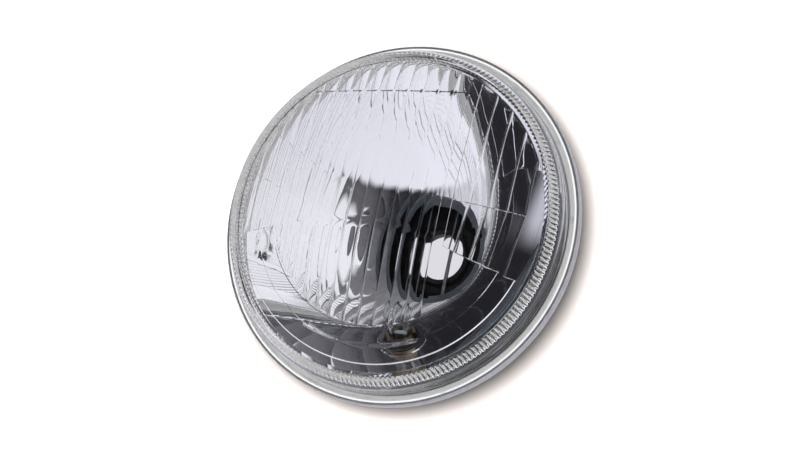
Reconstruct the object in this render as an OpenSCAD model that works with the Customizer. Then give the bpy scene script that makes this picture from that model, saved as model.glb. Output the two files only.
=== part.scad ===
// Round motorcycle headlight, a 146 mm H4 insert sold without its main bulb.
// Units are millimetres. The lens faces -Y and +Z is up.
// The origin is the middle of the rim lip on the optical axis.

/* [Lens] */
// Radius of the domed front, out to its crisp edge
dome_r = 65; // [62:0.5:66]
// Bulge of the dome at its middle
dome_sag = 9.5; // [7:0.5:13]
// Height of the dome edge in front of the middle of the rim
lens_height = 17; // [15:0.5:22]
// Wall thickness of the moulded glass
glass_t = 3.6; // [3:0.1:4.4]
// Ribs moulded inside the corner band
rib_count = 210; // [90:10:240]
// Depth of those ribs
rib_depth = 0.7; // [0.3:0.1:1.2]
// Pitch of the upright flutes
flute_pitch = 6.1; // [5:0.1:8]
// Depth of the flutes, the deepest ones are at the top
flute_depth = 0.7; // [0.3:0.05:1]
// Width of each ring step at the bottom of the lens
ring_step = 6.7; // [5:0.1:7]

/* [Rim and seal] */
// Outer radius of the rim lip, the size the headlight shell holds
rim_r = 73; // [72:0.5:76]
// Length of the rim lip along the axis
rim_len = 5.5; // [4:0.25:8]
// Thickness of the rim steel
rim_t = 1; // [0.8:0.1:1.4]
// Sealant between glass and rim
seal_gap = 0.8; // [0.4:0.1:1.2]

/* [Reflector] */
// Focal length of the parabola
focal = 26; // [24:0.5:30]
// Thickness of the reflector sheet
sheet_t = 0.9; // [0.6:0.1:1.2]
// Radius of the neck opening
neck_r = 22.5; // [21:0.5:22.5]

/* [Bulb seat] */
// Radius of the H4 seat hole
seat_hole_r = 19; // [17:0.5:19.5]
// Thickness of the seat ring
seat_t = 1.2; // [0.8:0.1:1.6]
// Outer radius of the collar that carries the boot
collar_r = 29.5; // [29:0.5:31]
// Wire radius of the bulb clip
wire_r = 0.8; // [0.6:0.05:0.9]
// Half the distance between the two legs of the clip
leg_x = 5.5; // [4.5:0.25:7]
// Height of the clip wire above the seat ring
clip_gap = 4.6; // [2.8:0.2:4.6]

/* [Dust boot] */
// Radius of the hole in the middle of the boot
boot_hole_r = 9.5; // [8:0.5:12]
// Wall thickness of the rubber
rubber_t = 2.4; // [1.6:0.2:3]
// Length of the boot behind the seat ring
boot_len = 17.5; // [16:0.5:22]

/* [Pilot lamp] */
// Distance of the pilot lamp below the optical axis
pilot_drop = 41; // [36:0.5:42]
// Outer radius of the pilot lamp socket
socket_r = 5.9; // [5.7:0.1:6.4]
// Length of the pilot bulb glass beyond its base
bulb_len = 15.5; // [12:0.5:18]

/* [Hidden] */
$fn = 96;

// Rim levels along Y
lip_front = -rim_len / 2;
floor_back = rim_len / 2;
floor_front = floor_back - rim_t;
glass_back = floor_front - 1;
flange_front = lip_front - 0.25;
flange_r = rim_r - rim_t - seal_gap;

// Dome: the outer and inner spheres share one centre
dome_outer = (dome_r * dome_r + dome_sag * dome_sag) / (2 * dome_sag);
dome_inner = dome_outer - glass_t;
dome_y = dome_outer - dome_sag - lens_height;
edge_y = -lens_height;
wall_r = dome_r + 3.8;
corner_y = edge_y + 10;
corner_rho = (3.8 * 3.8 + 100) / (2 * 3.8);
cavity_r = dome_r - 2.6;
rib_front = edge_y + 3.5;
rib_back = rib_front + 6.5;
rib_in = cavity_r + 0.9;

// Reflector and neck levels along Y
open_r = rim_r - 7;
vertex_y = floor_front + open_r * open_r / (4 * focal);
neck_y = vertex_y - neck_r * neck_r / (4 * focal) + 1.4;
seat_y = neck_y + sheet_t;
seat_back = seat_y + seat_t;
rivet_r = 1;
rivet_ring = neck_r + sheet_t + 2.3;
flange_out = collar_r - 1.2;
collar_back = seat_back + 6.8;
hole_front = seat_back + 8.6;
hole_back = hole_front + 5;

// Clip levels
clip_y = seat_back + clip_gap;
bar_z = rivet_ring - 1.4;
bend_r = 1.5;
ear_x = leg_x + bend_r + 0.15;

// Pilot lamp placing
pilot_y = vertex_y - pilot_drop * pilot_drop / (4 * focal);
pilot_tip = atan2(1, pilot_drop / (2 * focal));
cap_r = 4.5;
boss_r = socket_r + 4.1;
boss_back = -sheet_t - 0.8;
boss_top = 1;
contact_w = -11.2;
insulator_w = -15.4;

// Turns a profile drawn as radius and Y about the optical axis
module turned() {
  rotate([-90, 0, 0]) rotate_extrude() children();
}

// One flute: a shallow round groove that follows the inside of the dome at sideways distance x,
// between two heights, leaning sideways from the upright
module flute(x, pitch, depth, low, high, lean = 0) {
  width = pitch - 0.25;
  rho = width * width / (8 * depth) + depth / 2;
  if (high - low > 2)
    translate([0, dome_y, 0]) rotate([0, lean, 0]) rotate([0, 90, 0])
      rotate([0, 0, 270 - asin(high / dome_inner)])
        rotate_extrude(angle = asin(high / dome_inner) - asin(low / dome_inner))
          rotate(asin(x / dome_inner)) intersection() {
            translate([dome_inner + depth - rho, 0]) circle(r = rho);
            translate([dome_inner - 0.35, -width / 2 - 0.05]) square([depth + 1.35, width + 0.1]);
          }
}

// Height of a straight line through two front view points, and of the clear round of the dome
function line(x, p, q) = p[1] + (q[1] - p[1]) * (x - p[0]) / (q[0] - p[0]);
function round_edge(x, pitch, r) = sqrt(max(0, r * r - pow(abs(x) + pitch / 2, 2)));

// Height, along a leaning flute, of the line through two points
function lean_line(x, lean, p, q) = let (b = (q[1] - p[1]) / (q[0] - p[0]), a = p[1] - b * p[0])
  (a + b * x * cos(lean) + x * sin(lean)) / (cos(lean) - b * sin(lean));

// Clear radius of the fields, and the flutes of the right and the kick-up field
field_r = cavity_r - 0.6;
wide_pitch = flute_pitch + 1;
kick_lean = 8;

// Lines between the fields of flutes, as front view points
top_a = [-44, 44.8];
top_b = [27, 51.5];
mid_a = [22.5, 7.5];
mid_b = [62, 5];
kick_a = [3.8, -4];
kick_b = [60, -20];
cut_a = [-60, -15];
cut_b = [-34, -8.5];
low_a = [-61, -26];
low_b = [-32, -12.5];
function cut_line(x) = x < cut_b[0] ? line(x, cut_a, cut_b)
  : x < kick_a[0] ? line(x, cut_b, kick_a) : line(x, kick_a, kick_b);
function low_line(x) = x < low_b[0] ? line(x, low_a, low_b) : cut_line(x) - 0.4;

// The fields of flutes, from the top of the lens down
module top_field() {
  for (x = [-44 + flute_pitch / 2 : flute_pitch : 27 - flute_pitch / 2])
    flute(x, flute_pitch, flute_depth, line(x, top_a, top_b) + 0.3, round_edge(x, flute_pitch, field_r));
}

module main_field() {
  for (x = [-44 - 1.5 * flute_pitch : flute_pitch : 27 - flute_pitch / 2])
    flute(x, flute_pitch, flute_depth * 0.45, cut_line(x) + 0.3,
      x < -44 ? round_edge(x, flute_pitch, field_r) : line(x, top_a, top_b) - 0.3);
}

module right_field() {
  for (x = [27.2 + wide_pitch / 2 : wide_pitch : 57])
    flute(x, wide_pitch, flute_depth * 0.6, line(x, mid_a, mid_b) + 0.6,
      round_edge(x, wide_pitch, field_r));
}

module kick_field() {
  for (x = [27.2 + wide_pitch / 2 : wide_pitch : 57])
    flute(x, wide_pitch, flute_depth * 0.8, lean_line(x, kick_lean, kick_a, kick_b) + 0.5,
      lean_line(x, kick_lean, mid_a, mid_b) - 1.2, kick_lean);
}

module wedge_field() {
  for (x = [-44 - 1.5 * flute_pitch : flute_pitch : -32])
    flute(x, flute_pitch, flute_depth * 0.7, low_line(x) + 0.3, cut_line(x) - 0.3);
}

module low_field() {
  for (x = [-44 + flute_pitch / 2 : flute_pitch : 22])
    flute(x, flute_pitch, flute_depth * 0.6, -round_edge(x, flute_pitch, dome_r - 20), low_line(x) - 0.3);
}

module lens_profile() {
  difference() {
    union() {
      intersection() {
        translate([0, dome_y]) circle(r = dome_outer, $fn = 360);
        translate([0, edge_y - dome_sag - 1]) square([dome_r, dome_sag + 1]);
      }
      intersection() {
        translate([wall_r - corner_rho, corner_y]) circle(r = corner_rho);
        translate([dome_r - 12, edge_y]) square([16, 10]);
      }
      translate([0, edge_y]) square([dome_r - 8, 10]);
      translate([0, corner_y]) square([wall_r, glass_back - corner_y]);
      translate([0, flange_front]) square([flange_r, glass_back - flange_front]);
    }
    polygon([[0, rib_front], [rib_in, rib_front], [rib_in, rib_back],
      [rib_in + 1.2, rib_back + 1.2], [wall_r - glass_t, glass_back], [0, glass_back]]);
  }
}

// Clear inside of the dome: part of a sphere whose axis runs sideways, as the axes of the flutes do
module dome_cavity() {
  intersection() {
    rotate([90, 0, 0]) translate([0, 0, -rib_front - 1]) cylinder(r = cavity_r, h = dome_sag + 20);
    translate([0, dome_y, 0]) rotate([0, 90, 0]) rotate([0, 0, 252])
      rotate_extrude(angle = 36, $fn = 240) intersection() {
        circle(r = dome_inner, $fn = 360);
        translate([dome_inner - 14, -66]) square([20, 132]);
      }
  }
}

// Toothed prism that leaves the ribs standing inside the corner band
module rib_cutter() {
  step = 360 / rib_count;
  rotate([-90, 0, 0]) translate([0, 0, rib_front]) linear_extrude(height = rib_back - rib_front)
    polygon([for (i = [0 : rib_count - 1]) each [
      [(rib_in + rib_depth) * cos(i * step), (rib_in + rib_depth) * sin(i * step)],
      [(rib_in - 0.05) * cos((i + 0.5) * step), (rib_in - 0.05) * sin((i + 0.5) * step)]]]);
}

// Ring steps pressed across the bottom of the lens
module ring_steps() {
  for (k = [0 : 1]) {
    r = dome_r - 19 + k * ring_step;
    rotate([-90, 0, 0]) rotate([0, 0, 20]) rotate_extrude(angle = 134) intersection() {
      translate([0, dome_y]) circle(r = dome_inner + 0.9 - 0.3 * k, $fn = 360);
      translate([r, edge_y - dome_sag]) square([ring_step - 0.5, dome_sag + 4]);
    }
  }
}

module lens() {
  color([0.86, 0.9, 0.93, 0.4]) difference() {
    difference() {
      turned() lens_profile();
      rib_cutter();
    }
    dome_cavity();
    top_field();
    main_field();
    right_field();
    kick_field();
    wedge_field();
    low_field();
    ring_steps();
  }
}

module lens_sealant() {
  color([0.8, 0.84, 0.8]) turned() difference() {
    translate([open_r, flange_front + 0.3])
      square([rim_r - rim_t - open_r, floor_front - flange_front - 0.3]);
    translate([0, flange_front]) square([flange_r, glass_back - flange_front]);
  }
}

function bowl(r) = vertex_y - r * r / (4 * focal);
function slope(r) = r / (2 * focal);
function backed(r) = [r + sheet_t * slope(r) / sqrt(1 + slope(r) * slope(r)),
  bowl(r) + sheet_t / sqrt(1 + slope(r) * slope(r))];

// Local frame of the pilot lamp: its Z points into the lamp, its origin is on the reflector's face
module at_pilot() {
  translate([0, pilot_y, -pilot_drop]) rotate([pilot_tip, 0, 0]) children();
}

module reflector() {
  inside = [for (i = [0 : 26]) let (r = neck_r + (open_r - neck_r) * i / 26) [r, bowl(r)]];
  outside = [for (i = [26 : -1 : 0]) backed(neck_r + 1.2 + (open_r - neck_r - 1.2) * i / 26)];
  color([0.85, 0.86, 0.88]) difference() {
    union() {
      turned() union() {
        polygon(concat(inside, outside));
        translate([open_r, floor_front]) square([rim_r - open_r, rim_t]);
        translate([rim_r - rim_t, lip_front]) square([rim_t, rim_len]);
        translate([neck_r, bowl(neck_r)]) square([sheet_t, seat_y - bowl(neck_r)]);
        translate([neck_r, neck_y]) square([flange_out - neck_r, sheet_t]);
      }
      at_pilot() translate([0, 0, boss_back]) cylinder(r = boss_r, h = boss_top - boss_back);
    }
    at_pilot() translate([0, 0, boss_back - 2]) cylinder(r = socket_r + 1.2, h = boss_top - boss_back + 4);
    rivet_places() rotate([-90, 0, 0]) translate([0, 0, neck_y - 2]) cylinder(r = rivet_r, h = 6);
  }
}

// Front to back through the seat: two seat rivets and the rivets of the clip's two pieces
module rivet_places() {
  for (x = [-1, 1]) translate([x * rivet_ring, 0, 0]) children();
  clip_rivet_places() children();
}

module clip_rivet_places() {
  for (x = [-2.6, 2.6]) translate([x, 0, rivet_ring]) children();
  translate([0, 0, -rivet_ring]) children();
}

module seat_ring() {
  color([0.55, 0.62, 0.68]) difference() {
    turned() union() {
      translate([seat_hole_r, seat_y]) square([collar_r - seat_hole_r, seat_t]);
      translate([collar_r - 1, seat_y]) square([1, collar_back - seat_y]);
    }
    rivet_places() rotate([-90, 0, 0]) translate([0, 0, seat_y - 1]) cylinder(r = rivet_r, h = seat_t + 2);
    // Notches for the three tabs of the bulb flange
    for (a = [90, 210, 330]) rotate([0, a, 0])
      translate([seat_hole_r - 1, seat_y - 1, -2]) cube([2, seat_t + 2, 4]);
  }
}

// Rivet through the stack from the front face of the neck flange to a back level
module rivet(back) {
  rotate([-90, 0, 0]) {
    translate([0, 0, neck_y - 0.8]) cylinder(r = 1.7, h = 0.8);
    translate([0, 0, neck_y]) cylinder(r = rivet_r, h = back - neck_y);
    translate([0, 0, back]) cylinder(r = 1.7, h = 0.7);
  }
}

module seat_rivets() {
  color([0.7, 0.72, 0.75])
    for (x = [-1, 1]) translate([x * rivet_ring, 0, 0]) rivet(seat_back);
}

module clip_rivets() {
  color([0.7, 0.72, 0.75]) clip_rivet_places() rivet(seat_back + 0.8);
}

// Hinge bracket of the clip, above the seat hole
module clip_bracket() {
  color([0.6, 0.64, 0.68]) difference() {
    union() {
      translate([-ear_x - 0.8, seat_back, rivet_ring - 2]) cube([2 * ear_x + 1.6, 0.8, 3.4]);
      for (s = [0, 1]) mirror([s, 0, 0])
        translate([ear_x, seat_back, rivet_ring - 2]) cube([0.8, clip_gap + 1.8, 3.4]);
    }
    clip_rivet_places() rotate([-90, 0, 0]) translate([0, 0, seat_back - 1]) cylinder(r = rivet_r, h = 3);
    translate([-20, clip_y, rivet_ring]) rotate([0, 90, 0]) cylinder(r = wire_r, h = 40);
  }
}

// Hook that holds the crossbar of the clip, below the seat hole
module clip_hook() {
  color([0.6, 0.64, 0.68]) difference() {
    translate([-3, seat_back, -rivet_ring - 2.5]) union() {
      cube([6, 0.8, 4.5]);
      cube([6, clip_y + wire_r + 0.8 - seat_back, 0.8]);
      translate([0, clip_y + wire_r - seat_back, 0]) cube([6, 0.8, 4.7]);
    }
    clip_rivet_places() rotate([-90, 0, 0]) translate([0, 0, seat_back - 1]) cylinder(r = rivet_r, h = 3);
  }
}

// Quarter bend of the clip wire about a centre, starting at an angle in the front view
module wire_bend(x, z, start) {
  translate([x, clip_y, z]) rotate([90, 0, 0]) rotate([0, 0, start])
    rotate_extrude(angle = 90) translate([bend_r, 0]) circle(r = wire_r);
}

// Bail of round wire: its two ends turn outwards through the bracket, its crossbar sits under the hook
module bail_clip() {
  color([0.75, 0.77, 0.8]) union() {
    for (s = [0, 1]) mirror([s, 0, 0]) {
      translate([leg_x + bend_r, clip_y, rivet_ring]) rotate([0, 90, 0]) cylinder(r = wire_r, h = 1.6);
      wire_bend(leg_x + bend_r, rivet_ring - bend_r, 90);
      translate([leg_x, clip_y, -bar_z + bend_r]) cylinder(r = wire_r, h = rivet_ring + bar_z - 2 * bend_r);
      wire_bend(leg_x - bend_r, -bar_z + bend_r, 270);
    }
    translate([bend_r - leg_x, clip_y, -bar_z]) rotate([0, 90, 0])
      cylinder(r = wire_r, h = 2 * leg_x - 2 * bend_r);
  }
}

module dust_boot() {
  back = seat_back + boot_len;
  t = rubber_t;
  h = boot_hole_r;
  color([0.07, 0.07, 0.08]) turned() polygon([
    [collar_r, seat_y + 0.4], [collar_r + t + 1, seat_y + 0.4], [collar_r + t + 1, seat_y + 3.4],
    [collar_r + t, seat_y + 4.4], [collar_r + t, collar_back + 1],
    [collar_r + t - 1.4, back - 3], [collar_r + t - 3, back - 0.9], [collar_r + t - 4.6, back],
    [collar_r + t - 7.2, back], [collar_r + t - 9, back - 0.8],
    [h + 5.5, hole_front + 4.2], [h + 2.6, hole_front + 4.2], [h + 2.2, hole_back], [h, hole_back],
    [h, hole_front], [h + 2.2, hole_front], [h + 2.8, hole_front + 1.8], [h + 5.9, hole_front + 1.8],
    [collar_r + t - 8.5, back - 3.2], [collar_r + t - 6.5, back - 2.6], [collar_r + t - 5.1, back - 3],
    [collar_r + t - 4, back - 4.4], [collar_r - 1.2, collar_back], [collar_r, collar_back]]);
}

module pilot_grommet() {
  color([0.1, 0.1, 0.11]) at_pilot() rotate_extrude() {
    polygon([[socket_r, boss_back - 4.3], [socket_r + 2.4, boss_back - 4.3],
      [socket_r + 3.6, boss_back], [socket_r + 1.2, boss_back], [socket_r + 1.2, boss_top],
      [socket_r + 2.1, boss_top], [socket_r + 1.6, boss_top + 0.8], [socket_r, boss_top + 0.8]]);
  }
}

// Brass shell with two bayonet slots, open towards the lamp and turned in at the back
module pilot_socket() {
  color([0.62, 0.48, 0.32]) at_pilot() difference() {
    union() {
      rotate_extrude() polygon([[cap_r + 0.3, insulator_w], [cap_r - 1.2, insulator_w],
        [cap_r - 1.2, insulator_w - 2.3], [socket_r, insulator_w - 2.3],
        [socket_r, 4.4], [cap_r + 0.3, 4.4]]);
    }
    for (s = [-1, 1]) {
      translate([s > 0 ? cap_r : -cap_r - 3, -1.1, 0.2]) cube([3, 2.2, 6]);
      translate([s > 0 ? cap_r : -cap_r - 3, s > 0 ? -1.1 : -2.9, -0.95]) cube([3, 4, 2.3]);
    }
    translate([0, 0, insulator_w - 1.6]) cylinder(r = cap_r - 0.2, h = 1.7);
  }
}

module pilot_earth_tab() {
  color([0.62, 0.48, 0.32]) at_pilot() difference() {
    translate([-2.4, -socket_r - 0.8, -20]) cube([4.8, 1.4, 9]);
    translate([0, 0, -25]) cylinder(r = socket_r, h = 20);
    translate([0, -socket_r, -18]) rotate([90, 0, 0]) cylinder(r = 0.8, h = 3);
    translate([-3, -socket_r, -21]) cube([6, 2, 3]);
  }
}

module pilot_insulator() {
  color([0.35, 0.22, 0.14]) at_pilot() difference() {
    translate([0, 0, insulator_w - 1.6]) cylinder(r = cap_r - 0.2, h = 1.6);
    translate([0, 0, insulator_w - 2]) cylinder(r = 0.8, h = 3);
  }
}

module pilot_contact() {
  color([0.75, 0.6, 0.35]) at_pilot() {
    translate([0, 0, contact_w]) cylinder(r = 2.6, h = 0.8);
    translate([0, 0, insulator_w - 5]) cylinder(r = 0.8, h = contact_w - insulator_w + 5);
  }
}

// Coil spring, closed wound, between the insulator and the contact
module pilot_contact_spring() {
  n = 7;
  length = contact_w - insulator_w;
  coil_r = length / n / 2 + 0.02;
  color([0.7, 0.7, 0.72]) at_pilot() rotate_extrude() for (i = [0 : n - 1])
    translate([1.9, insulator_w + coil_r + (length - 2 * coil_r) * i / (n - 1)]) circle(r = coil_r);
}

module pilot_bulb_base() {
  color([0.8, 0.8, 0.78]) at_pilot() difference() {
    translate([0, 0, -8]) cylinder(r = cap_r, h = 11.5);
    translate([0, 0, -2]) cylinder(r = cap_r - 0.5, h = 6);
  }
}

module pilot_bulb_pins() {
  color([0.8, 0.8, 0.78]) at_pilot() difference() {
    translate([-5.5, 0, 0]) rotate([0, 90, 0]) cylinder(r = 0.95, h = 11);
    translate([0, 0, -3]) cylinder(r = cap_r, h = 6);
  }
}

module pilot_bulb_insulator() {
  color([0.05, 0.05, 0.06]) at_pilot() translate([0, 0, -9.4]) cylinder(r1 = 2, r2 = 4.1, h = 1.4);
}

module pilot_bulb_solder() {
  color([0.7, 0.7, 0.7]) at_pilot() translate([0, 0, contact_w + 0.8]) cylinder(r1 = 1, r2 = 1.6, h = 1);
}

module pilot_bulb_glass() {
  tip = 3.5 + bulb_len;
  color([0.9, 0.93, 0.95, 0.5]) at_pilot() rotate_extrude() difference() {
    union() {
      translate([0, -2]) square([cap_r - 0.5, 6]);
      translate([0, 3.5]) square([cap_r - 0.1, bulb_len - cap_r + 0.1]);
      intersection() {
        translate([0, tip - cap_r + 0.1]) circle(r = cap_r - 0.1);
        translate([0, 3.5]) square([cap_r, bulb_len]);
      }
    }
    translate([0, -1.2]) square([cap_r - 1.1, 6]);
    translate([0, 4.1]) square([cap_r - 0.7, bulb_len - cap_r - 0.5]);
    intersection() {
      translate([0, tip - cap_r + 0.1]) circle(r = cap_r - 0.7);
      translate([0, 3.5]) square([cap_r, bulb_len]);
    }
  }
}

module pilot_filament_posts() {
  color([0.7, 0.7, 0.7]) at_pilot() for (x = [-1.6, 1.6])
    translate([x, 0, -1.2]) cylinder(r = 0.25, h = 11);
}

module pilot_filament() {
  color([0.45, 0.45, 0.47]) at_pilot() difference() {
    translate([-1.6, 0, 9]) rotate([0, 90, 0]) cylinder(r = 0.22, h = 3.2);
    for (x = [-1.6, 1.6]) translate([x, 0, 5]) cylinder(r = 0.25, h = 8);
  }
}

module pilot_bulb_bead() {
  color([0.8, 0.85, 0.9]) at_pilot() difference() {
    translate([-2.3, 0, 5]) rotate([0, 90, 0]) cylinder(r = 0.8, h = 4.6);
    for (x = [-1.6, 1.6]) translate([x, 0, 0]) cylinder(r = 0.25, h = 10);
  }
}

lens();
lens_sealant();
reflector();
seat_ring();
seat_rivets();
clip_bracket();
clip_hook();
clip_rivets();
bail_clip();
dust_boot();
pilot_grommet();
pilot_socket();
pilot_earth_tab();
pilot_insulator();
pilot_contact();
pilot_contact_spring();
pilot_bulb_base();
pilot_bulb_pins();
pilot_bulb_insulator();
pilot_bulb_solder();
pilot_bulb_glass();
pilot_filament_posts();
pilot_filament();
pilot_bulb_bead();
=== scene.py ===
import bpy, bmesh, math
import numpy as np
from mathutils import Matrix, Vector


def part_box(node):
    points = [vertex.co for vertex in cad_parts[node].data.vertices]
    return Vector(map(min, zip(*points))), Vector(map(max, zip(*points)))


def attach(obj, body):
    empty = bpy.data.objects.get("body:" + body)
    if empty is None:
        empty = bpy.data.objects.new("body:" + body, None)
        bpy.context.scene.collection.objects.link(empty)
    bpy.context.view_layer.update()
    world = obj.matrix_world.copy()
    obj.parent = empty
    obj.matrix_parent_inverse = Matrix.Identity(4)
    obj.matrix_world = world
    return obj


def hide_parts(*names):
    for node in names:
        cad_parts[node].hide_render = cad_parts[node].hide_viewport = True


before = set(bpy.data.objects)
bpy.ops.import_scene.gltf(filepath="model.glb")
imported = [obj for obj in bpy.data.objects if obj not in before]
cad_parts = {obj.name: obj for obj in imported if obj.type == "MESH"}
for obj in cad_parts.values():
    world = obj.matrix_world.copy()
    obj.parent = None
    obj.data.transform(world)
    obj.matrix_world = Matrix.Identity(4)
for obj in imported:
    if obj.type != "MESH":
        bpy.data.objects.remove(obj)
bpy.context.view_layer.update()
print("frame loaded")

# Shapes are worked out in millimetres and placed in metres
mm = 0.001


def node(tree, kind, **values):
    made = tree.nodes.new(kind)
    for key, value in values.items():
        setattr(made, key, value)
    return made


def wire(tree, source, target):
    tree.links.new(source, target)


def plug(tree, value, target):
    if isinstance(value, tuple):
        target.default_value = (*value, 1)
    elif isinstance(value, float):
        target.default_value = value
    else:
        wire(tree, value, target)


def maths(tree, operation, first, second):
    made = node(tree, "ShaderNodeMath", operation=operation)
    plug(tree, first, made.inputs[0])
    plug(tree, second, made.inputs[1])
    return made.outputs[0]


def mixed(tree, factor, first, second, blend="MIX"):
    made = node(tree, "ShaderNodeMix", data_type="RGBA", blend_type=blend)
    plug(tree, factor, made.inputs["Factor"])
    plug(tree, first, made.inputs[6])
    plug(tree, second, made.inputs[7])
    return made.outputs[2]


def span(tree, source, low, high, first=0.0, last=1.0):
    made = node(tree, "ShaderNodeMapRange")
    wire(tree, source, made.inputs["Value"])
    for name, value in (("From Min", first), ("From Max", last), ("To Min", low), ("To Max", high)):
        made.inputs[name].default_value = value
    return made.outputs["Result"]


def objectSpace(tree):
    return node(tree, "ShaderNodeTexCoord").outputs["Object"]


def noise(tree, scale, detail=4.0, roughness=0.5):
    made = node(tree, "ShaderNodeTexNoise")
    for name, value in (("Scale", scale), ("Detail", detail), ("Roughness", roughness)):
        made.inputs[name].default_value = value
    wire(tree, objectSpace(tree), made.inputs["Vector"])
    return made.outputs["Fac"]


def ramp(tree, source, stops):
    made = node(tree, "ShaderNodeValToRGB")
    wire(tree, source, made.inputs["Fac"])
    band = made.color_ramp
    while len(band.elements) < len(stops):
        band.elements.new(0.5)
    for element, (place, colour) in zip(band.elements, stops):
        element.position = place
        element.color = (*colour, 1)
    return made.outputs["Color"]


def newMaterial(name, **shader):
    mat = bpy.data.materials.new(name)
    mat.use_nodes = True
    bsdf = mat.node_tree.nodes["Principled BSDF"]
    for key, value in shader.items():
        bsdf.inputs[key].default_value = value
    return mat, mat.node_tree, bsdf


def bump(tree, bsdf, height, strength, distance):
    made = node(tree, "ShaderNodeBump")
    made.inputs["Strength"].default_value = strength
    made.inputs["Distance"].default_value = distance
    wire(tree, height, made.inputs["Height"])
    wire(tree, made.outputs["Normal"], bsdf.inputs["Normal"])


def newObject(name, data):
    made = bpy.data.objects.new(name, data)
    bpy.context.scene.collection.objects.link(made)
    return made


def addMesh(name, verts, faces, mat, slot, *nodes):
    mesh = bpy.data.meshes.new(name)
    mesh.from_pydata([tuple(v) for v in verts], [], [tuple(f) for f in faces])
    mesh.validate()
    obj = newObject(name, mesh)
    mesh.materials.append(mat)
    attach(obj, "root")
    if nodes:
        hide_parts(*nodes)
    return obj


def finishMesh(obj, angle=30):
    fixer = bmesh.new()
    fixer.from_mesh(obj.data)
    bmesh.ops.recalc_face_normals(fixer, faces=fixer.faces)
    fixer.to_mesh(obj.data)
    fixer.free()
    obj.data.shade_smooth()
    obj.data.set_sharp_from_angle(angle=math.radians(angle))


def closePoles(obj):
    fixer = bmesh.new()
    fixer.from_mesh(obj.data)
    bmesh.ops.remove_doubles(fixer, verts=fixer.verts, dist=2e-6)
    fixer.to_mesh(obj.data)
    fixer.free()


def lathe(profile, count, loop=False):
    verts = [(r * math.cos(2 * math.pi * k / count), y, r * math.sin(2 * math.pi * k / count))
             for r, y in profile for k in range(count)]
    rings = len(profile)
    faces = []
    for i in range(rings if loop else rings - 1):
        near, far = i * count, (i + 1) % rings * count
        faces += [(near + k, near + (k + 1) % count, far + (k + 1) % count, far + k) for k in range(count)]
    return verts, faces


# Lens: domed glass. Its inside has flutes in fields, ring steps, a raised block and bar, and a band of ribs
lens = {
    "centre": 200.618, "outer": 227.118, "inner": 223.518,  # dome
    "start": -44.0, "pitch": 6.1, "lead": 3, "count": 14, "depth": 0.7,  # flutes
    "seam": 27.2, "widePitch": 7.1, "wideCount": 5, "wideFlutes": 4, "lean": 8.0, "leanFade": 6.0,
    "fields": {  # share of the depth, base, how far a crest stands proud
        "top": (0.85, 0.12, 0.08), "main": (0.3, 0.0, 0.07), "low": (0.4, 0.12, 0.1),
        "wedge": (0.15, 0.06, 0.06), "right": (0.3, 0.0, 0.18), "kick": (0.16, 0.4, 0.22),
    },
    "ends": {"top": (-44.0, 23.1), "main": (-62.0, 23.1), "low": (-44.0, 23.1), "wedge": (-56.2, -31.8)},
    "ridge": 0.22, "crestWidth": 0.36, "near": (0.11, 0.22, 0.36), "samples": 8, "extraX": 22.0,
    "beside": 0.08, "besideTurn": 0.05, "step": 0.2, "clear": 0.6, "lowGap": 0.4,
    "topLine": ((-44, 44.8), (27, 51.5)), "midLine": ((22.5, 7.5), (62, 5)),  # borders, from left to right
    "cutLine": ((-60, -15), (-34, -8.5), (3.8, -4), (60, -20)), "lowLine": ((-61, -26), (-32, -12.5)),
    "rings": (46.0, 52.7, 59.4), "ringDepth": {"ring0": 0.9, "ring1": 0.6}, "ringIn": 45.0, "ringTurn": 0.94,
    "block": (10.0, 15.6, 11.5, 17.5, 0.22),  # left, right, bottom, top and height
    "bar": (-15.6, 2.3, 27.7, 28.5, 0.1),
    "cavity": 62.4, "ribFront": -13.5, "ribBack": -7.0, "ribRise": 3.2,
    "ribIn": 63.3, "ribDepth": 0.7, "ribCount": 210,
    "foot": (65.2, 0.75), "bend": (53.74, -7.0, 15.06), "bendAngles": (8, 16, 24, 32, 38),  # skirt
    "edge": [(70.9, 0.75), (71.2, 0.45), (71.2, -2.6), (70.8, -3.0), (69.5, -3.0), (69.0, -3.25),
             (68.8, -3.8), (68.8, -7.0)],
    "lip": [(65.18, -16.75), (65.0, -16.98), (64.8, -17.06)],
    "domeR": 64.3, "domeRings": 34, "poleR": 0.4, "round": 420,
}
cavityR = lens["cavity"]


def lineAt(x, p, q):
    return p[1] + (q[1] - p[1]) * (x - p[0]) / (q[0] - p[0])


def cutLine(x):
    points = lens["cutLine"]
    k = 0 if x < points[1][0] else 1 if x < points[2][0] else 2
    return lineAt(x, points[k], points[k + 1])


def lowLine(x):
    line = cutLine(x) - lens["lowGap"]
    return min(lineAt(x, *lens["lowLine"]), line) if x < lens["lowLine"][1][0] else line


def circleAt(x, r):
    return math.sqrt(max(0.0, r * r - x * x))


def groove(away, pitch, depth, proud):
    rounded = math.sqrt(away * away + lens["ridge"] ** 2) - lens["ridge"]
    s = 1 - 2 * rounded / pitch
    crest = max(0.0, 1 - (away / lens["crestWidth"]) ** 2)
    return depth * (1 - s * s) - proud * crest ** 2


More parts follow.
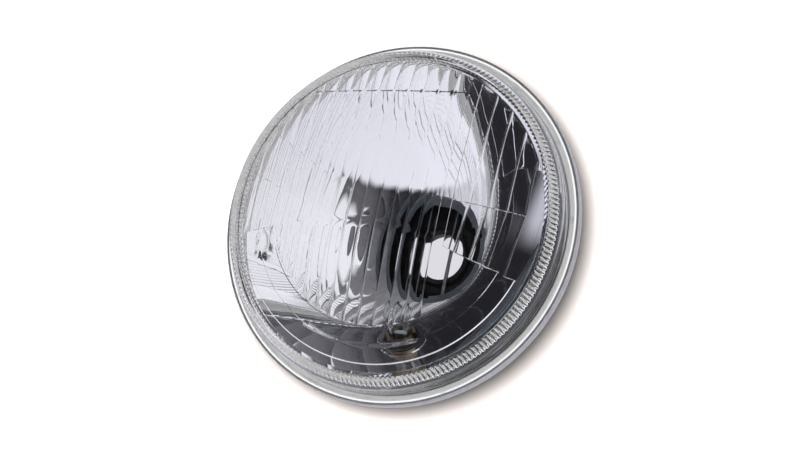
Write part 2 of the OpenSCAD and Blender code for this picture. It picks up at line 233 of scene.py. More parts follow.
def fluteColumns():
    start, pitch, near, samples = lens["start"], lens["pitch"], lens["near"], lens["samples"]
    edges = [lens["seam"], lens["extraX"], start]
    xs = list(edges)
    for first, width, count in ((start - lens["lead"] * pitch, pitch, lens["count"]),
                                (lens["seam"], lens["widePitch"], lens["wideCount"])):
        for k in range(count + 1):
            ridge = first + k * width
            xs += [ridge] + [ridge - d for d in near] + [ridge + d for d in near]
            xs += [ridge + width * (j + 1) / samples for j in range(samples - 1)]
    for x in (*edges, *lens["block"][:2], *lens["bar"][:2]):
        xs += [x - lens["beside"], x + lens["beside"]]
    for turn in [side * ring * lens["ringTurn"] for ring in lens["rings"] for side in (-1, 1)]:
        xs += [turn, turn - lens["besideTurn"], turn + lens["besideTurn"]]
    xs += [side * cavityR * math.cos(math.radians(a)) for side in (-1, 1) for a in range(24)]
    kept = []
    for x in sorted(x for x in xs if abs(x) <= cavityR):
        if not kept or x - kept[-1] > 0.03:
            kept.append(x)
    kept[0], kept[-1] = -cavityR, cavityR
    return kept


def reliefAt(field, x):
    if field in ("block", "bar"):
        left, right, _, _, proud = lens[field]
        return reliefAt("right" if x > lens["seam"] else "main", x) - (proud if left < x < right else 0)
    if field in lens["ringDepth"]:
        return lens["ringDepth"][field]
    if field not in lens["fields"]:
        return 0.0
    share, base, proud = lens["fields"][field]
    wide = field in ("right", "kick")
    start, pitch = (lens["seam"], lens["widePitch"]) if wide else (lens["start"], lens["pitch"])
    first, last = (start, start + lens["wideFlutes"] * pitch) if wide else lens["ends"][field]
    if not first <= x <= last:
        return 0.0
    u = ((x - start) / pitch) % 1.0
    return base + groove(min(u, 1 - u) * pitch, pitch, share * lens["depth"], proud)


def columnRows(x):
    edge, clear, cut = circleAt(x, cavityR), circleAt(x, cavityR - lens["clear"]), cutLine(x)

    def arc(r):
        return min(-circleAt(x, r) if abs(x) < r else edge, cut - lens["lowGap"])

    right = x > lens["seam"]
    upper = "right" if right else "main"
    mid = lineAt(x, *lens["midLine"]) if right else cut
    top = lineAt(x, *lens["topLine"]) if lens["start"] < x < lens["seam"] else edge
    innerRing, middleRing, outerRing = lens["rings"]
    blockLow, blockHigh = lens["block"][2:4]
    barLow, barHigh = lens["bar"][2:4]
    marks = [("plain", arc(outerRing), 2), ("ring1", arc(middleRing), 5), ("ring0", arc(innerRing), 5),
             ("plain", arc(lens["ringIn"]), 2), ("low", lowLine(x), 14), ("wedge", cut, 8),
             ("kick", mid, 12), (upper, min(blockLow, clear), 8), ("block", min(blockHigh, clear), 5),
             (upper, min(barLow, clear), 8), ("bar", min(barHigh, clear), 2),
             (upper, min(top, clear), 14), ("top", clear, 10), ("plain", edge, 2)]
    rows, z = [(-edge, "plain")], -edge
    for field, high, count in marks:
        high = min(max(high, z), edge)
        if high - z < 2.4 * lens["step"] and not (field == "plain" and high == edge and edge > 0.5):
            rows += [rows[-1]] * (count + 1)
            continue
        low = z + lens["step"] if z > -edge else z
        stop = high - lens["step"] if high < edge else high
        rows += [(low + (stop - low) * k / count, field) for k in range(count + 1)]
        z = high
    return rows


def lensInside():
    columns, verts = fluteColumns(), []
    slant, far = math.tan(math.radians(lens["lean"])), lens["midLine"][1][0]
    for x in columns:
        for z, field in columnRows(x):
            px = x
            if field == "kick":
                fromSeam, fromEdge = (x - lens["seam"]) / lens["widePitch"], (far - x) / lens["leanFade"]
                ends = min(1, max(0, fromSeam)) * min(1, max(0, fromEdge))
                px = x - slant * (lineAt(x, *lens["midLine"]) - z) * ends
            r = lens["inner"] + reliefAt(field, x)
            verts.append((px, lens["centre"] - math.sqrt(r * r - px * px - z * z), z))
    height = len(verts) // len(columns)
    faces = [(i * height + j, i * height + j + 1, (i + 1) * height + j + 1, (i + 1) * height + j)
             for i in range(len(columns) - 1) for j in range(height - 1)]
    points, where = np.unique(np.round(np.array(verts), 4), axis=0, return_inverse=True)
    where = where.reshape(-1)
    merged = []
    for face in faces:
        ring = [int(where[v]) for v in face]
        ring = [v for k, v in enumerate(ring) if v != ring[k - 1]]
        if len(set(ring)) > 2:
            merged.append(ring)
    border = sorted({int(where[i * height + j]) for i in range(len(columns)) for j in (0, height - 1)},
                    key=lambda v: math.atan2(points[v][2], points[v][0]))
    return [tuple(p) for p in points], merged, border


# Two rings with unlike numbers of points are joined by triangles, in the order of their angles
def stitch(verts, first, second):
    def turn(v):
        return math.atan2(verts[v][2], verts[v][0]) % (2 * math.pi)

    a, b = sorted(first, key=turn), sorted(second, key=turn)
    i = j = 0
    faces = []
    while i < len(a) or j < len(b):
        nextA, nextB = a[(i + 1) % len(a)], b[(j + 1) % len(b)]
        turnA = turn(nextA) + (2 * math.pi if i + 1 >= len(a) else 0)
        turnB = turn(nextB) + (2 * math.pi if j + 1 >= len(b) else 0)
        if j >= len(b) or (i < len(a) and turnA <= turnB):
            faces.append((a[i % len(a)], nextA, b[j % len(b)]))
            i += 1
        else:
            faces.append((a[i % len(a)], nextB, b[j % len(b)]))
            j += 1
    return faces


def lensMesh():
    verts, faces, border = lensInside()

    def loop(count, radius, y):
        start = len(verts)
        for k in range(count):
            t = 2 * math.pi * k / count
            r = radius(t) if callable(radius) else radius
            verts.append((r * math.cos(t), y, r * math.sin(t)))
        return list(range(start, len(verts)))

    ribIn, front, back, count = lens["ribIn"], lens["ribFront"], lens["ribBack"], lens["ribCount"] * 6

    def ribbed(t):
        return ribIn + lens["ribDepth"] * (0.5 + 0.5 * math.cos(lens["ribCount"] * t))

    def band(a, b):
        n = len(a)
        return [(a[k], a[(k + 1) % n], b[(k + 1) % n], b[k]) for k in range(n)]

    inner = [loop(count, cavityR, front), loop(count, ribbed, front),
             loop(count, ribbed, front + lens["ribRise"]), loop(count, ribbed, back),
             loop(count, ribIn, back + 0.02), loop(count, ribIn + 1.2, back + 1.2),
             loop(count, *lens["foot"])]
    faces += stitch(verts, border, inner[0])
    for a, b in zip(inner, inner[1:]):
        faces += band(a, b)
    bendR, bendY, bend = lens["bend"]
    turns = [math.radians(a) for a in lens["bendAngles"]]
    profile = lens["edge"] + [(bendR + bend * math.cos(a), bendY - bend * math.sin(a)) for a in turns]
    profile += lens["lip"]
    for k in range(lens["domeRings"]):
        r = lens["domeR"] * (1 - k / lens["domeRings"]) + lens["poleR"]
        profile.append((r, lens["centre"] - math.sqrt(lens["outer"] ** 2 - r * r)))
    outer = [loop(lens["round"], r, y) for r, y in profile]
    faces += stitch(verts, inner[-1], outer[0])
    for a, b in zip(outer, outer[1:]):
        faces += band(a, b)
    pole, last = len(verts), outer[-1]
    verts.append((0, lens["centre"] - lens["outer"], 0))
    faces += [(last[k], last[(k + 1) % len(last)], pole) for k in range(len(last))]
    return np.array(verts) * mm, faces


clearGlass = {"Roughness": 0.0, "IOR": 1.47, "Transmission Weight": 1.0}
glass, glassTree, glassShader = newMaterial("lensGlass", **clearGlass)
glassShader.inputs["Base Color"].default_value = (0.995, 0.995, 0.995, 1)
bump(glassTree, glassShader, noise(glassTree, 60, 2), 0.05, 0.001)
verts, faces = lensMesh()
lensPiece = addMesh("lensGlassPiece", verts, faces, glass, "lens_glass", "lens")
finishMesh(lensPiece, 34)
print("lens", len(lensPiece.data.polygons))

# Reflector: a mirrored bowl in one sheet with its rim and lip, and a boss round the hole of the pilot lamp
reflector = {
    "focal": 26.0, "vertexY": 43.635, "openR": 66.0, "neckR": 22.5, "sheet": 0.9,
    "rimR": 73.0, "rimT": 1.0, "lipFront": -2.75, "floorFront": 1.75, "floorBack": 2.75, "floorR": 67.5,
    "rearDepth": 42.8, "flangeR": 28.3, "cutR": 8.6, "cutReach": 20,
    "bossR": 10.0, "bossHole": 7.1, "bossBack": -1.7, "bossTop": 1.0, "bossEdge": 0.3,
}
focal, vertexY, openR, neckR = (reflector[k] for k in ("focal", "vertexY", "openR", "neckR"))
pilot = {"drop": 41.0}
pilot["y"] = vertexY - pilot["drop"] ** 2 / (4 * focal)
pilot["tip"] = math.atan2(1, pilot["drop"] / (2 * focal))
atPilot = Matrix.Translation((0, pilot["y"], -pilot["drop"])) @ Matrix.Rotation(pilot["tip"], 4, "X")
fromPilot = atPilot.inverted()


def inPilotFrame(verts):
    return [tuple(atPilot @ Vector((x, z, y))) for x, y, z in verts]


def bowlY(r):
    return vertexY - r * r / (4 * focal)


def backed(r):
    slope = r / (2 * focal)
    run = math.sqrt(1 + slope * slope)
    return r + reflector["sheet"] * slope / run, bowlY(r) + reflector["sheet"] / run


def reflectorMesh():
    sheet, rimR, lip, back = (reflector[k] for k in ("sheet", "rimR", "lipFront", "floorBack"))
    inner, floorY = rimR - reflector["rimT"], reflector["floorFront"]
    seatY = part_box("seat_ring")[0][1] / mm
    radii = [neckR + (openR - neckR) * k / 90 for k in range(91)]
    face = [(r, bowlY(r)) for r in radii]
    channel = [(inner - 0.4, floorY), (inner, floorY - 0.4), (inner, lip + 0.35), (inner + 0.12, lip + 0.1),
               (inner + 0.35, lip), (rimR - 0.35, lip), (rimR - 0.12, lip + 0.1), (rimR, lip + 0.35),
               (rimR, 1.9), (rimR - 0.25, 2.5), (rimR - 0.9, back), (reflector["floorR"], back)]
    rear = [backed(openR - reflector["rearDepth"] * k / 40) for k in range(41)]
    flange = reflector["flangeR"]
    neck = [(neckR + sheet, seatY - sheet), (flange, seatY - sheet), (flange, seatY), (neckR, seatY)]
    verts, faces = lathe(face + channel + rear + neck, 360, loop=True)
    kept = []
    for f in faces:
        middle = fromPilot @ (sum((Vector(verts[v]) for v in f), Vector()) / 4)
        if math.hypot(middle.x, middle.y) > reflector["cutR"] or abs(middle.z) > reflector["cutReach"]:
            kept.append(f)
    hole, boss, low, high = (reflector[k] for k in ("bossHole", "bossR", "bossBack", "bossTop"))
    edge = reflector["bossEdge"]
    ring, ringFaces = lathe([(hole, low), (boss, low), (boss, high - edge), (boss - edge, high),
                             (hole + edge, high), (hole, high - edge)], 96, loop=True)
    start = len(verts)
    verts += inPilotFrame(ring)
    return np.array(verts) * mm, kept + [tuple(v + start for v in f) for f in ringFaces]


def isMirror(x, y, z):
    r = math.hypot(x, z)
    at = fromPilot @ Vector((x, y, z))
    onFace = neckR <= r < openR + 0.3 and abs(y - bowlY(r)) < 0.15
    onBoss = math.hypot(at.x, at.y) < reflector["bossR"] + 0.1 and at.z > 0.65
    onFloor = openR <= r < reflector["rimR"] - reflector["rimT"] and abs(y - reflector["floorFront"]) < 0.1
    return onFace or onBoss or onFloor


chrome, chromeTree, chromeShader = newMaterial("reflectorMirror", Metallic=1.0)
chromeShader.inputs["Base Color"].default_value = (0.9, 0.9, 0.93, 1)
wire(chromeTree, span(chromeTree, noise(chromeTree, 180, 5), 0.0, 0.016), chromeShader.inputs["Roughness"])
bump(chromeTree, chromeShader, noise(chromeTree, 30, 2), 0.03, 0.001)

rimMetal, rimTree, rimShader = newMaterial("rimSteel", Metallic=1.0)
rimTones = [(0.3, (0.38, 0.385, 0.4)), (0.5, (0.46, 0.465, 0.48)), (0.72, (0.56, 0.565, 0.58))]
wire(rimTree, ramp(rimTree, noise(rimTree, 420, 7, 0.65), rimTones), rimShader.inputs["Base Color"])
wire(rimTree, span(rimTree, noise(rimTree, 150, 6), 0.34, 0.62), rimShader.inputs["Roughness"])
spun = node(rimTree, "ShaderNodeTexWave", wave_type="RINGS", rings_direction="Y")
for name, value in (("Scale", 380), ("Distortion", 3.0), ("Detail", 4.0)):
    spun.inputs[name].default_value = value
wire(rimTree, objectSpace(rimTree), spun.inputs["Vector"])
bump(rimTree, rimShader, spun.outputs["Fac"], 0.3, 0.0002)

verts, faces = reflectorMesh()
shell = addMesh("reflectorShell", verts, faces, chrome, "reflector_metal", "reflector")
shell.data.materials.append(rimMetal)
for face in shell.data.polygons:
    face.material_index = 0 if isMirror(*(face.center / mm)) else 1
finishMesh(shell)
print("reflector", len(shell.data.polygons))

# Sealant: the bond of the glass, a hair clear of it. Its inner edge has painted shade, lifted towards minus
# X
sealant = {
    "profile": [(65.9, 0.7), (71.15, 0.7), (71.15, -2.55), (71.3, -2.75), (71.97, -2.8), (71.97, 1.74),
                (65.9, 1.74)],
    "tones": [(0.3, (0.72, 0.75, 0.73)), (0.4, (0.95, 0.955, 0.95)), (0.7, (0.99, 0.99, 0.99))],
    "shade": 0.06, "edge": (0.0679, 0.0689), "shadeLiftSide": (0.02, -0.03),
}
verts, faces = lathe(sealant["profile"], 360, loop=True)
sealMat, sealTree, sealShader = newMaterial("sealantPale", Roughness=0.55)
flat = node(sealTree, "ShaderNodeVectorMath", operation="MULTIPLY")
wire(sealTree, objectSpace(sealTree), flat.inputs[0])
flat.inputs[1].default_value = (1, 0, 1)
reach = node(sealTree, "ShaderNodeVectorMath", operation="LENGTH")
wire(sealTree, flat.outputs["Vector"], reach.inputs[0])
side = node(sealTree, "ShaderNodeSeparateXYZ")
wire(sealTree, flat.outputs["Vector"], side.inputs[0])
# Painted shade: a dark ring at the sealant's inner edge, faded out towards minus X
edgeShadeMask = span(sealTree, reach.outputs["Value"], sealant["shade"], 1.0, *sealant["edge"])
shadeLiftMask = span(sealTree, side.outputs["X"], 0.0, 1.0, *sealant["shadeLiftSide"])
pale = ramp(sealTree, noise(sealTree, 110, 6, 0.6), sealant["tones"])
wire(sealTree, mixed(sealTree, 1.0, pale, maths(sealTree, "MAXIMUM", edgeShadeMask, shadeLiftMask), "MULTIPLY"),
     sealShader.inputs["Base Color"])
bump(sealTree, sealShader, noise(sealTree, 500, 4), 0.3, 0.0004)
seal = addMesh("sealantRing", np.array(verts) * mm, faces, sealMat, "sealant", "lens_sealant")
finishMesh(seal)

# Plain finishes: base colours from dark to light, metal, roughness range, grain size and its depth
finishes = {
    "zincPlate": ([(0.3, (0.3, 0.35, 0.42)), (0.5, (0.46, 0.53, 0.6)), (0.72, (0.56, 0.6, 0.62))],
                  1.0, (0.24, 0.46), 320, 0.12),
    "nickelPlate": ([(0.35, (0.5, 0.49, 0.46)), (0.65, (0.72, 0.71, 0.68))], 1.0, (0.16, 0.38), 900, 0.1),
    "springWire": ([(0.3, (0.4, 0.41, 0.43)), (0.6, (0.66, 0.67, 0.69))], 1.0, (0.2, 0.42), 1400, 0.15),
    "bootRubber": ([(0.35, (0.005, 0.005, 0.006)), (0.6, (0.01, 0.01, 0.011)),
                    (0.85, (0.024, 0.023, 0.022))], 0.0, (0.46, 0.72), 700, 0.35),
    "grommetRubber": ([(0.35, (0.014, 0.014, 0.015)), (0.7, (0.04, 0.04, 0.042))],
                      0.0, (0.28, 0.5), 900, 0.25),
    "agedBrass": ([(0.3, (0.2, 0.15, 0.1)), (0.5, (0.42, 0.33, 0.22)), (0.75, (0.58, 0.47, 0.33))],
                  1.0, (0.25, 0.5), 500, 0.12),
    "brownResin": ([(0.35, (0.1, 0.045, 0.022)), (0.65, (0.2, 0.1, 0.05))], 0.0, (0.3, 0.5), 900, 0.2),
    "blackGlass": ([(0.4, (0.005, 0.005, 0.007)), (0.7, (0.014, 0.014, 0.018))],
                   0.0, (0.05, 0.16), 1200, 0.08),
    "solderTin": ([(0.35, (0.4, 0.4, 0.41)), (0.65, (0.62, 0.62, 0.63))], 1.0, (0.28, 0.55), 1500, 0.35),
    "tungsten": ([(0.3, (0.16, 0.16, 0.17)), (0.7, (0.32, 0.32, 0.33))], 1.0, (0.3, 0.5), 3000, 0.2),
    "beadGlass": ([(0.3, (0.5, 0.56, 0.58)), (0.7, (0.72, 0.76, 0.78))], 0.0, (0.04, 0.15), 1500, 0.1),
}
surface = {}
for name, (stops, metal, (smooth, rough), grain, depth) in finishes.items():
    mat, tree, bsdf = newMaterial(name, Metallic=metal)
    wire(tree, ramp(tree, noise(tree, grain * 0.25, 6, 0.6), stops), bsdf.inputs["Base Color"])
    wire(tree, span(tree, noise(tree, grain * 0.7, 5, 0.6), smooth, rough), bsdf.inputs["Roughness"])
    bump(tree, bsdf, noise(tree, grain * 2, 5, 0.6), depth, 0.0003)
    surface[name] = mat
bulbGlass, bulbTree, bulbShader = newMaterial("bulbGlass", IOR=1.5, **{"Transmission Weight": 1.0})
bulbTones = [(0.3, (0.93, 0.95, 0.95)), (0.7, (0.99, 0.99, 0.99))]
wire(bulbTree, ramp(bulbTree, noise(bulbTree, 160, 4), bulbTones), bulbShader.inputs["Base Color"])
wire(bulbTree, span(bulbTree, noise(bulbTree, 500, 4), 0.0, 0.06), bulbShader.inputs["Roughness"])
bump(bulbTree, bulbShader, noise(bulbTree, 300, 3), 0.08, 0.0004)

# CAD nodes that keep their mesh, by finish
worn = {
    "zincPlate": ("seat_ring", "clip_bracket", "clip_hook"),
    "springWire": ("bail_clip", "pilot_filament_posts"),
    "agedBrass": ("pilot_socket", "pilot_earth_tab", "pilot_contact"), "brownResin": ("pilot_insulator",),
    "nickelPlate": ("pilot_bulb_base", "pilot_bulb_pins"), "blackGlass": ("pilot_bulb_insulator",),
    "solderTin": ("pilot_bulb_solder",), "beadGlass": ("pilot_bulb_bead",),
}
for look, names in worn.items():
    for name in names:
        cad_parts[name].material_slots[0].material = surface[look]
print("materials")


def rounded(profile, radius):
    out = []
    for k, (r, y) in enumerate(profile):
        ends = []
        for other in (profile[k - 1], profile[(k + 1) % len(profile)]):
            gap = math.hypot(other[0] - r, other[1] - y)
            t = min(radius, 0.42 * gap) / gap
            ends.append((r + (other[0] - r) * t, y + (other[1] - y) * t))
        for t in (0, 0.25, 0.5, 0.75, 1):
            out.append(tuple((1 - t) ** 2 * first + 2 * t * (1 - t) * corner + t * t * last
                             for first, corner, last in zip(ends[0], (r, y), ends[1])))
    return out


# Dust boot: moulded rubber, dished round the hole for the plug of the main bulb
boot = {"collar": 29.5, "wall": 2.4, "hole": 9.5, "length": 17.5, "holeDepth": 8.6, "edge": 0.7, "seat": 1.2}
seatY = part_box("seat_ring")[0][1] / mm
seatBack = seatY + boot["seat"]
bootBack, bootHole = seatBack + boot["length"], seatBack + boot["holeDepth"]
collar, hole = boot["collar"], boot["hole"]
side = collar + boot["wall"]
bootProfile = [
    (collar, seatY + 0.4), (side + 1, seatY + 0.4), (side + 1, seatY + 3.4), (side, seatY + 4.4),
    (side, seatBack + 7.8), (side - 1.4, bootBack - 3), (side - 3, bootBack - 0.9), (side - 4.6, bootBack),
    (side - 7.2, bootBack), (side - 9, bootBack - 0.8), (hole + 5.5, bootHole + 4.2),
    (hole + 2.6, bootHole + 4.2), (hole + 2.2, bootHole + 5), (hole, bootHole + 5), (hole, bootHole),
    (hole + 2.2, bootHole), (hole + 2.8, bootHole + 1.8), (hole + 5.9, bootHole + 1.8),
    (side - 8.5, bootBack - 3.2), (side - 6.5, bootBack - 2.6), (side - 5.1, bootBack - 3),
    (side - 4, bootBack - 4.4), (collar - 1.2, seatBack + 6.8), (collar, seatBack + 6.8)]
verts, faces = lathe(rounded(bootProfile, boot["edge"]), 180, loop=True)
bootPiece = addMesh("dustBoot", np.array(verts) * mm, faces, surface["bootRubber"],
                    "boot_rubber", "dust_boot")
finishMesh(bootPiece, 40)

# Pilot grommet: rubber, pressed in the boss of the reflector
grommet = {"socket": 5.9, "edge": 0.35, "back": -6.0, "front": 1.8}
bore, low, high = grommet["socket"], reflector["bossBack"], reflector["bossTop"]
back, front = grommet["back"], grommet["front"]
grommetProfile = [(bore, back), (bore + 2.4, back), (bore + 3.6, low), (bore + 1.2, low), (bore + 1.2, high),
                  (bore + 2.1, high), (bore + 1.6, front), (bore, front)]
verts, faces = lathe(rounded(grommetProfile, grommet["edge"]), 120, loop=True)
grommetPiece = addMesh("pilotGrommet", np.array(inPilotFrame(verts)) * mm, faces, surface["grommetRubber"],
                       "boot_rubber", "pilot_grommet")
finishMesh(grommetPiece, 40)

# Pilot bulb glass: thin wall, its inner shell turned to the hollow
bulb = {"r": 4.4, "wall": 0.6, "tip": 19.0, "foot": -2.0, "footWall": 0.8}
outerR, innerR, foot = bulb["r"], bulb["r"] - bulb["wall"], bulb["foot"]
crown = [math.radians(a) for a in range(0, 91, 9)]
outside = [(0, foot), (3.9, foot), (4.0, foot + 0.1), (4.0, 3.3), (4.15, 3.5), (4.4, 3.8)]
outside += [(outerR * math.cos(a), bulb["tip"] - outerR + outerR * math.sin(a)) for a in crown]
inside = [(innerR * math.cos(a), bulb["tip"] - outerR + innerR * math.sin(a)) for a in reversed(crown)]
inside += [(innerR, 4.3), (innerR - 0.2, 3.9), (3.4, 3.6), (3.4, foot + bulb["footWall"]),
           (0, foot + bulb["footWall"])]
verts, faces = lathe(outside, 96)
more, moreFaces = lathe(inside, 96)
faces += [tuple(v + len(verts) for v in f) for f in moreFaces]
bulbPiece = addMesh("pilotBulbGlass", np.array(inPilotFrame(verts + more)) * mm, faces, bulbGlass,
                    "bulb_glass", "pilot_bulb_glass")
closePoles(bulbPiece)
bulbPiece.data.shade_smooth()


def newTree(name, sockets):
    tree = bpy.data.node_groups.new(name, "GeometryNodeTree")
    tree.interface.new_socket("Geometry", in_out="INPUT", socket_type="NodeSocketGeometry")
    for socket, kind in (*sockets, ("Finish", "Material")):
        tree.interface.new_socket(socket, in_out="INPUT", socket_type="NodeSocket" + kind)
    tree.interface.new_socket("Geometry", in_out="OUTPUT", socket_type="NodeSocketGeometry")
    return tree, node(tree, "NodeGroupInput")


def painted(tree, given, shape):
    real = node(tree, "GeometryNodeRealizeInstances")
    paint = node(tree, "GeometryNodeSetMaterial")
    wire(tree, shape, real.inputs["Geometry"])
    wire(tree, real.outputs["Geometry"], paint.inputs["Geometry"])
    wire(tree, given.outputs["Finish"], paint.inputs["Material"])
    wire(tree, paint.outputs["Geometry"], node(tree, "NodeGroupOutput").inputs["Geometry"])
    return tree


def coilTree():
    tree, given = newTree("coil", [(name, "Float") for name in ("Radius", "Wire", "Turns", "Length")])
    spiral = node(tree, "GeometryNodeCurveSpiral")
    spiral.inputs["Resolution"].default_value = 36
    for source, target in (("Radius", "Start Radius"), ("Radius", "End Radius"), ("Turns", "Rotations"),
                           ("Length", "Height")):
        wire(tree, given.outputs[source], spiral.inputs[target])
    section = node(tree, "GeometryNodeCurvePrimitiveCircle")
    section.inputs["Resolution"].default_value = 12
    wire(tree, given.outputs["Wire"], section.inputs["Radius"])
    sweep = node(tree, "GeometryNodeCurveToMesh")
    wire(tree, spiral.outputs["Curve"], sweep.inputs["Curve"])
    wire(tree, section.outputs["Curve"], sweep.inputs["Profile Curve"])
    sweep.inputs["Fill Caps"].default_value = True
    return painted(tree, given, sweep.outputs["Mesh"])


def rivetTree():
    tree, given = newTree("rivets", [("Rivet", "Object")])
    shape = node(tree, "GeometryNodeObjectInfo")
    wire(tree, given.outputs["Rivet"], shape.inputs["Object"])
    spread = node(tree, "GeometryNodeInstanceOnPoints")
    wire(tree, given.outputs["Geometry"], spread.inputs["Points"])
    wire(tree, shape.outputs["Geometry"], spread.inputs["Instance"])
    return painted(tree, given, spread.outputs["Instances"])


def grown(tree, points, **values):
    base = bpy.data.meshes.new("seed")
    base.from_pydata(points, [], [])
    carrier = newObject("seed", base)
    modifier = carrier.modifiers.new("grow", "NODES")
    modifier.node_group = tree
    for item in tree.interface.items_tree:
        if item.in_out == "INPUT" and item.name in values:
            modifier[item.identifier] = values[item.name]
    result = bpy.data.meshes.new_from_object(carrier.evaluated_get(bpy.context.evaluated_depsgraph_get()))
    carrier.modifiers.remove(modifier)
    bpy.data.objects.remove(carrier)
    return result


def placeMesh(name, mesh, change, slot, *nodes):
    mesh.transform(change)
    made = newObject(name, mesh)
    mesh.shade_smooth()
    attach(made, "root")
    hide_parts(*nodes)
    return made


# Coils: the contact spring and the filament of the pilot lamp
scaled = Matrix.Diagonal((mm, mm, mm, 1))
coils = coilTree()
spring = {"low": -15.1, "coil": {"Radius": 1.9, "Wire": 0.3, "Turns": 6.5, "Length": 3.6}}
springPlace = scaled @ atPilot @ Matrix.Translation((0, 0, spring["low"]))
springMesh = grown(coils, [(0, 0, 0)], Finish=surface["springWire"], **spring["coil"])
placeMesh("contactSpring", springMesh, springPlace, "spring_steel", "pilot_contact_spring")
filament = {"high": 9.0, "coil": {"Radius": 0.17, "Wire": 0.05, "Turns": 16.0, "Length": 3.1}}
filamentPlace = Matrix.Translation((-filament["coil"]["Length"] / 2, 0, filament["high"]))
filamentPlace = scaled @ atPilot @ filamentPlace @ Matrix.Rotation(math.pi / 2, 4, "Y")
filamentMesh = grown(coils, [(0, 0, 0)], Finish=surface["tungsten"], **filament["coil"])
placeMesh("filamentCoil", filamentMesh, filamentPlace, "tungsten", "pilot_filament")

# Rivets: domed heads on both sides of the seat
rivet = {"head": 1.7, "shank": 1.0, "front": 0.8, "rear": 0.7, "ring": 25.7, "pair": 2.6, "bracket": 0.8}
rivets = rivetTree()
neckY, head, shank, ring = seatY - reflector["sheet"], rivet["head"], rivet["shank"], rivet["ring"]
for name, nodes, places, back in (
        ("seatRivets", "seat_rivets", [(-ring, 0, 0), (ring, 0, 0)], seatBack),
        ("clipRivets", "clip_rivets", [(-rivet["pair"], 0, ring), (rivet["pair"], 0, ring), (0, 0, -ring)],
         seatBack + rivet["bracket"])):
    low, high = neckY - rivet["front"], back + rivet["rear"]
    verts, faces = lathe([(0, low), (0.8, low + 0.05), (1.35, low + 0.25), (head, low + 0.6), (head, neckY),
                          (shank, neckY), (shank, back), (head, back), (head, back + 0.15),
                          (1.35, high - 0.22), (0.8, high - 0.04), (0, high)], 40)
    single = bpy.data.meshes.new("rivetShape")
    single.from_pydata(verts, [], faces)
    shape = newObject("rivetShape", single)
    closePoles(shape)
    finishMesh(shape, 40)
    made = grown(rivets, places, Rivet=shape, Finish=surface["nickelPlate"])
    placeMesh(name, made, scaled, "rivet_steel", nodes).data.set_sharp_from_angle(angle=math.radians(40))
    bpy.data.objects.remove(shape)
print("small parts")


# Stage: a pale floor, and a backdrop square to the camera that takes a soft shadow, clear from behind
def stagePlane(name, corners, material):
    mesh = bpy.data.meshes.new(name)
    mesh.from_pydata([tuple(c) for c in corners], [], [(0, 1, 2, 3)])
    mesh.materials.append(material)
    return newObject(name, mesh)


def hide(obj, *rays):
    for ray in rays:
        setattr(obj, "visible_" + ray, False)


square = ((-1, -1), (1, -1), (1, 1), (-1, 1))
ground = {"half": 4, "z": -0.45}
floorMat, floorTree, floorShader = newMaterial("paleFloor", Roughness=0.9)
floorShader.inputs["Base Color"].default_value = (0.9, 0.9, 0.9, 1)
corners = [(a * ground["half"], b * ground["half"], ground["z"]) for a, b in square]
floor = stagePlane("floor", corners, floorMat)
hide(floor, "glossy", "transmission", "shadow")

right = Vector((0.92322, 0.32598, 0.20348))
up = Vector((-0.11779, -0.26397, 0.95731))
toward = Vector((0.36577, -0.90778, -0.20530))
backdrop = {"behind": 0.074, "half": 0.19, "albedo": (0.16, 0.149, 0.143), "power": 68.0, "size": 0.1,
            "lamp": (-0.024, 0.02, 0.72)}
wallMat, wallTree, wallShader = newMaterial("paleBackdrop", Roughness=1.0)
wallShader.inputs["Base Color"].default_value = (*backdrop["albedo"], 1)
wallShader.inputs["Specular IOR Level"].default_value = 0.0
clear = node(wallTree, "ShaderNodeBsdfTransparent")
either = node(wallTree, "ShaderNodeMixShader")
wire(wallTree, node(wallTree, "ShaderNodeNewGeometry").outputs["Backfacing"], either.inputs["Fac"])
wire(wallTree, wallShader.outputs[0], either.inputs[1])
wire(wallTree, clear.outputs[0], either.inputs[2])
wire(wallTree, either.outputs[0], wallTree.nodes["Material Output"].inputs["Surface"])
corners = [-backdrop["behind"] * toward + backdrop["half"] * (a * right + b * up) for a, b in square]
wall = stagePlane("backdrop", corners, wallMat)
hide(wall, "diffuse", "glossy", "transmission", "shadow")

lampData = bpy.data.lights.new("shadowLamp", "AREA")
lampData.shape, lampData.size, lampData.energy = "DISK", backdrop["size"], backdrop["power"]
lamp = newObject("shadowLamp", lampData)
place = sum((a * axis for a, axis in zip(backdrop["lamp"], (right, up, toward))), Vector())
lamp.matrix_world = Matrix.Translation(place) @ (-toward).to_track_quat("-Z", "Y").to_matrix().to_4x4()
hide(lamp, "camera", "glossy", "transmission")
lit = bpy.data.collections.new("lit")
lit.objects.link(wall)
lamp.light_linking.receiver_collection = lit

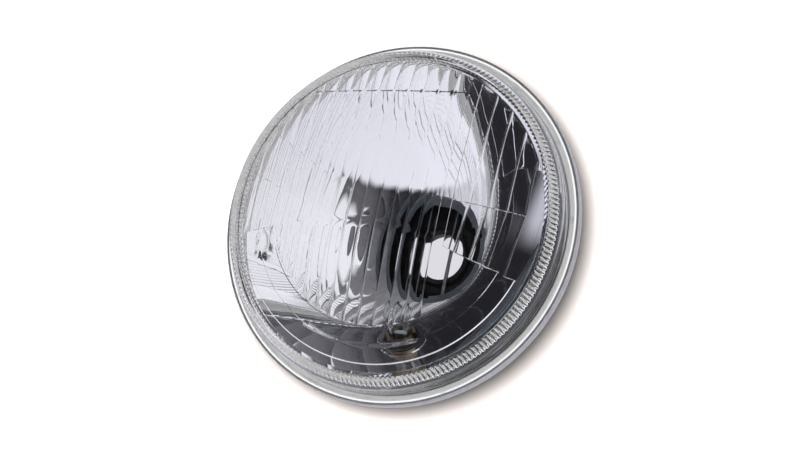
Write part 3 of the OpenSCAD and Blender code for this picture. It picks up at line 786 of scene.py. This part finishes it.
# Room: white for the camera and for matt surfaces, and in the mirror a bright table, sides and a dark part
studio = {
    "table": (0.98, 0.98, 1.06), "behind": (0.78, 0.77, 0.83), "ceiling": (0.2, 0.2, 0.21),
    "left": (0.7, 0.7, 0.76), "seen": (1.0, 1.0, 1.0), "matt": (1.3, 1.3, 1.3),
    "tableEdge": (0.28, 0.36), "ceilingEdge": (0.75, 0.97), "leftEdge": (0.58, 0.8),
    "leftTop": (-0.22, 0.0), "backEdge": (-0.15, 0.1),
    "sides": [(0.38, (0.02, 0.02, 0.023)), (0.47, (0.03, 0.03, 0.034)), (0.53, (0.075, 0.075, 0.08)),
              (0.685, (0.15, 0.15, 0.16)), (0.72, (1.0, 1.0, 1.05))],
}
world = bpy.data.worlds.new("studio")
bpy.context.scene.world = world
world.use_nodes = True
sky = world.node_tree
background = sky.nodes["Background"]
direction = node(sky, "ShaderNodeTexCoord").outputs["Generated"]


def along(axis, low, high, shape="SMOOTHSTEP"):
    dot = node(sky, "ShaderNodeVectorMath", operation="DOT_PRODUCT")
    wire(sky, direction, dot.inputs[0])
    dot.inputs[1].default_value = tuple(axis)
    edge = span(sky, dot.outputs["Value"], 0.0, 1.0, low, high)
    edge.node.interpolation_type = shape
    return edge


room = ramp(sky, along(right, -1, 1, "LINEAR"), studio["sides"])
room = mixed(sky, along(up, *studio["ceilingEdge"]), room, studio["ceiling"])
leftPart = maths(sky, "MULTIPLY", along(-right, *studio["leftEdge"]), along(-up, *studio["leftTop"]))
room = mixed(sky, leftPart, room, studio["left"])
room = mixed(sky, along(-up, *studio["tableEdge"]), room, studio["table"])
room = mixed(sky, along(toward, *studio["backEdge"]), studio["behind"], room)
path = node(sky, "ShaderNodeLightPath").outputs
mirrored = maths(sky, "MAXIMUM", path["Is Glossy Ray"], path["Is Transmission Ray"])
direct = maths(sky, "LESS_THAN", path["Diffuse Depth"], 0.5)
plain = mixed(sky, path["Is Camera Ray"], studio["matt"], studio["seen"])
wire(sky, mixed(sky, maths(sky, "MULTIPLY", mirrored, direct), plain, room), background.inputs["Color"])
background.inputs["Strength"].default_value = 1.0

view = {"lens": 110.5, "sensor": 36, "target": (0, -0.017, 0), "away": 0.95, "shift": (0.00512, -0.00469)}
cameraData = bpy.data.cameras.new("camera")
cameraData.lens, cameraData.sensor_width = view["lens"], view["sensor"]
camera = newObject("camera", cameraData)
spot = Vector(view["target"]) + view["away"] * toward + view["shift"][0] * right + view["shift"][1] * up
camera.matrix_world = Matrix((
    (right.x, up.x, toward.x, spot.x), (right.y, up.y, toward.y, spot.y),
    (right.z, up.z, toward.z, spot.z), (0, 0, 0, 1)))
bpy.context.scene.camera = camera

bpy.context.scene.view_settings.view_transform = "Standard"
cycles = bpy.context.scene.cycles
cycles.max_bounces, cycles.transmission_bounces, cycles.glossy_bounces = 24, 20, 16
print("stage")
